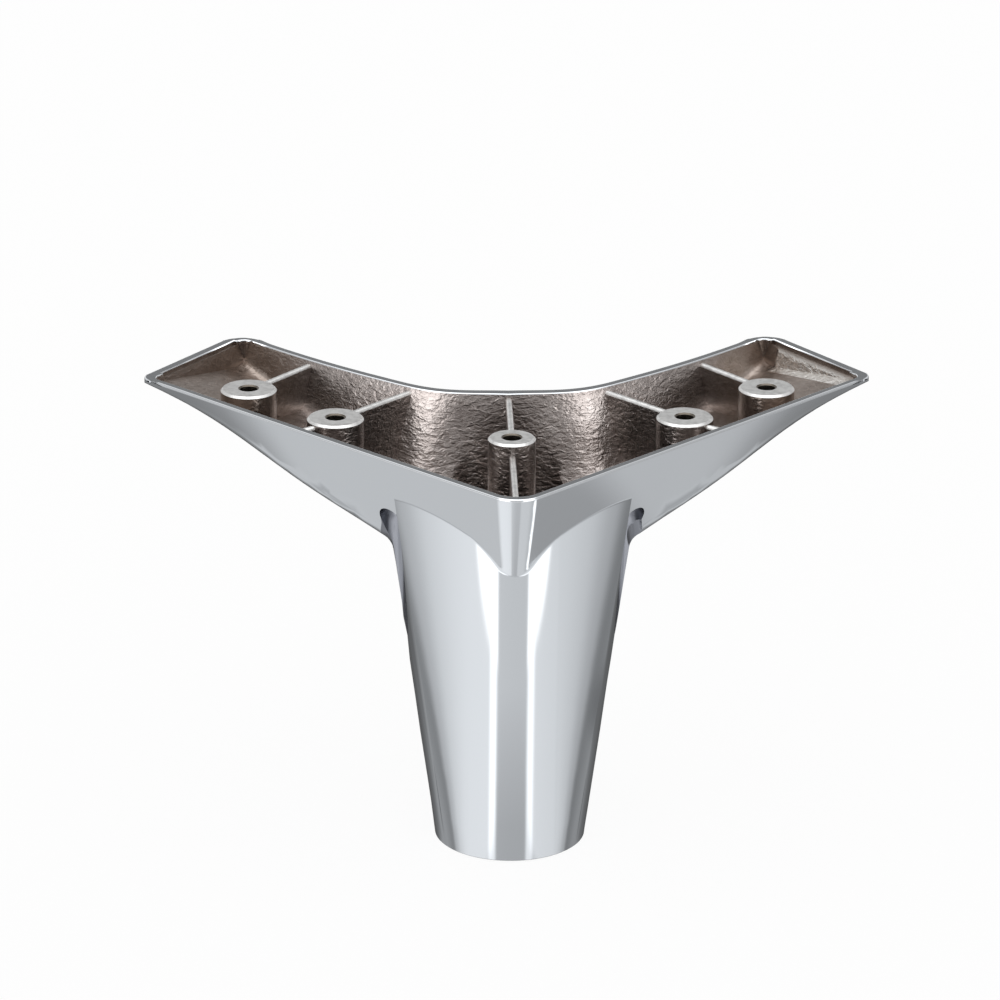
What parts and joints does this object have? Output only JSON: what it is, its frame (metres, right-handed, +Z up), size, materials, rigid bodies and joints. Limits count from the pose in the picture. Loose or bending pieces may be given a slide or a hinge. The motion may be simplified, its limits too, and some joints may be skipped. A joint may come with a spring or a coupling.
{
  "type": "sofa corner leg",
  "caption": "Cast V-shaped corner leg for upholstered furniture: a hollow ribbed tray with screw bosses on a tapered column.",
  "frame": {"origin": "centre of the round base, on the floor", "axes": "+Z up the column to the open rim; the corner of the V points to -Y and the two arms mirror each other in X"},
  "size_m": [0.2022, 0.1335, 0.115],
  "materials": {
    "polished_casting": "bright polished plate outside, bare cast metal inside the tray"
  },
  "bodies": {
    "root": {"leg": "polished_casting"}
  },
  "joints": []
}
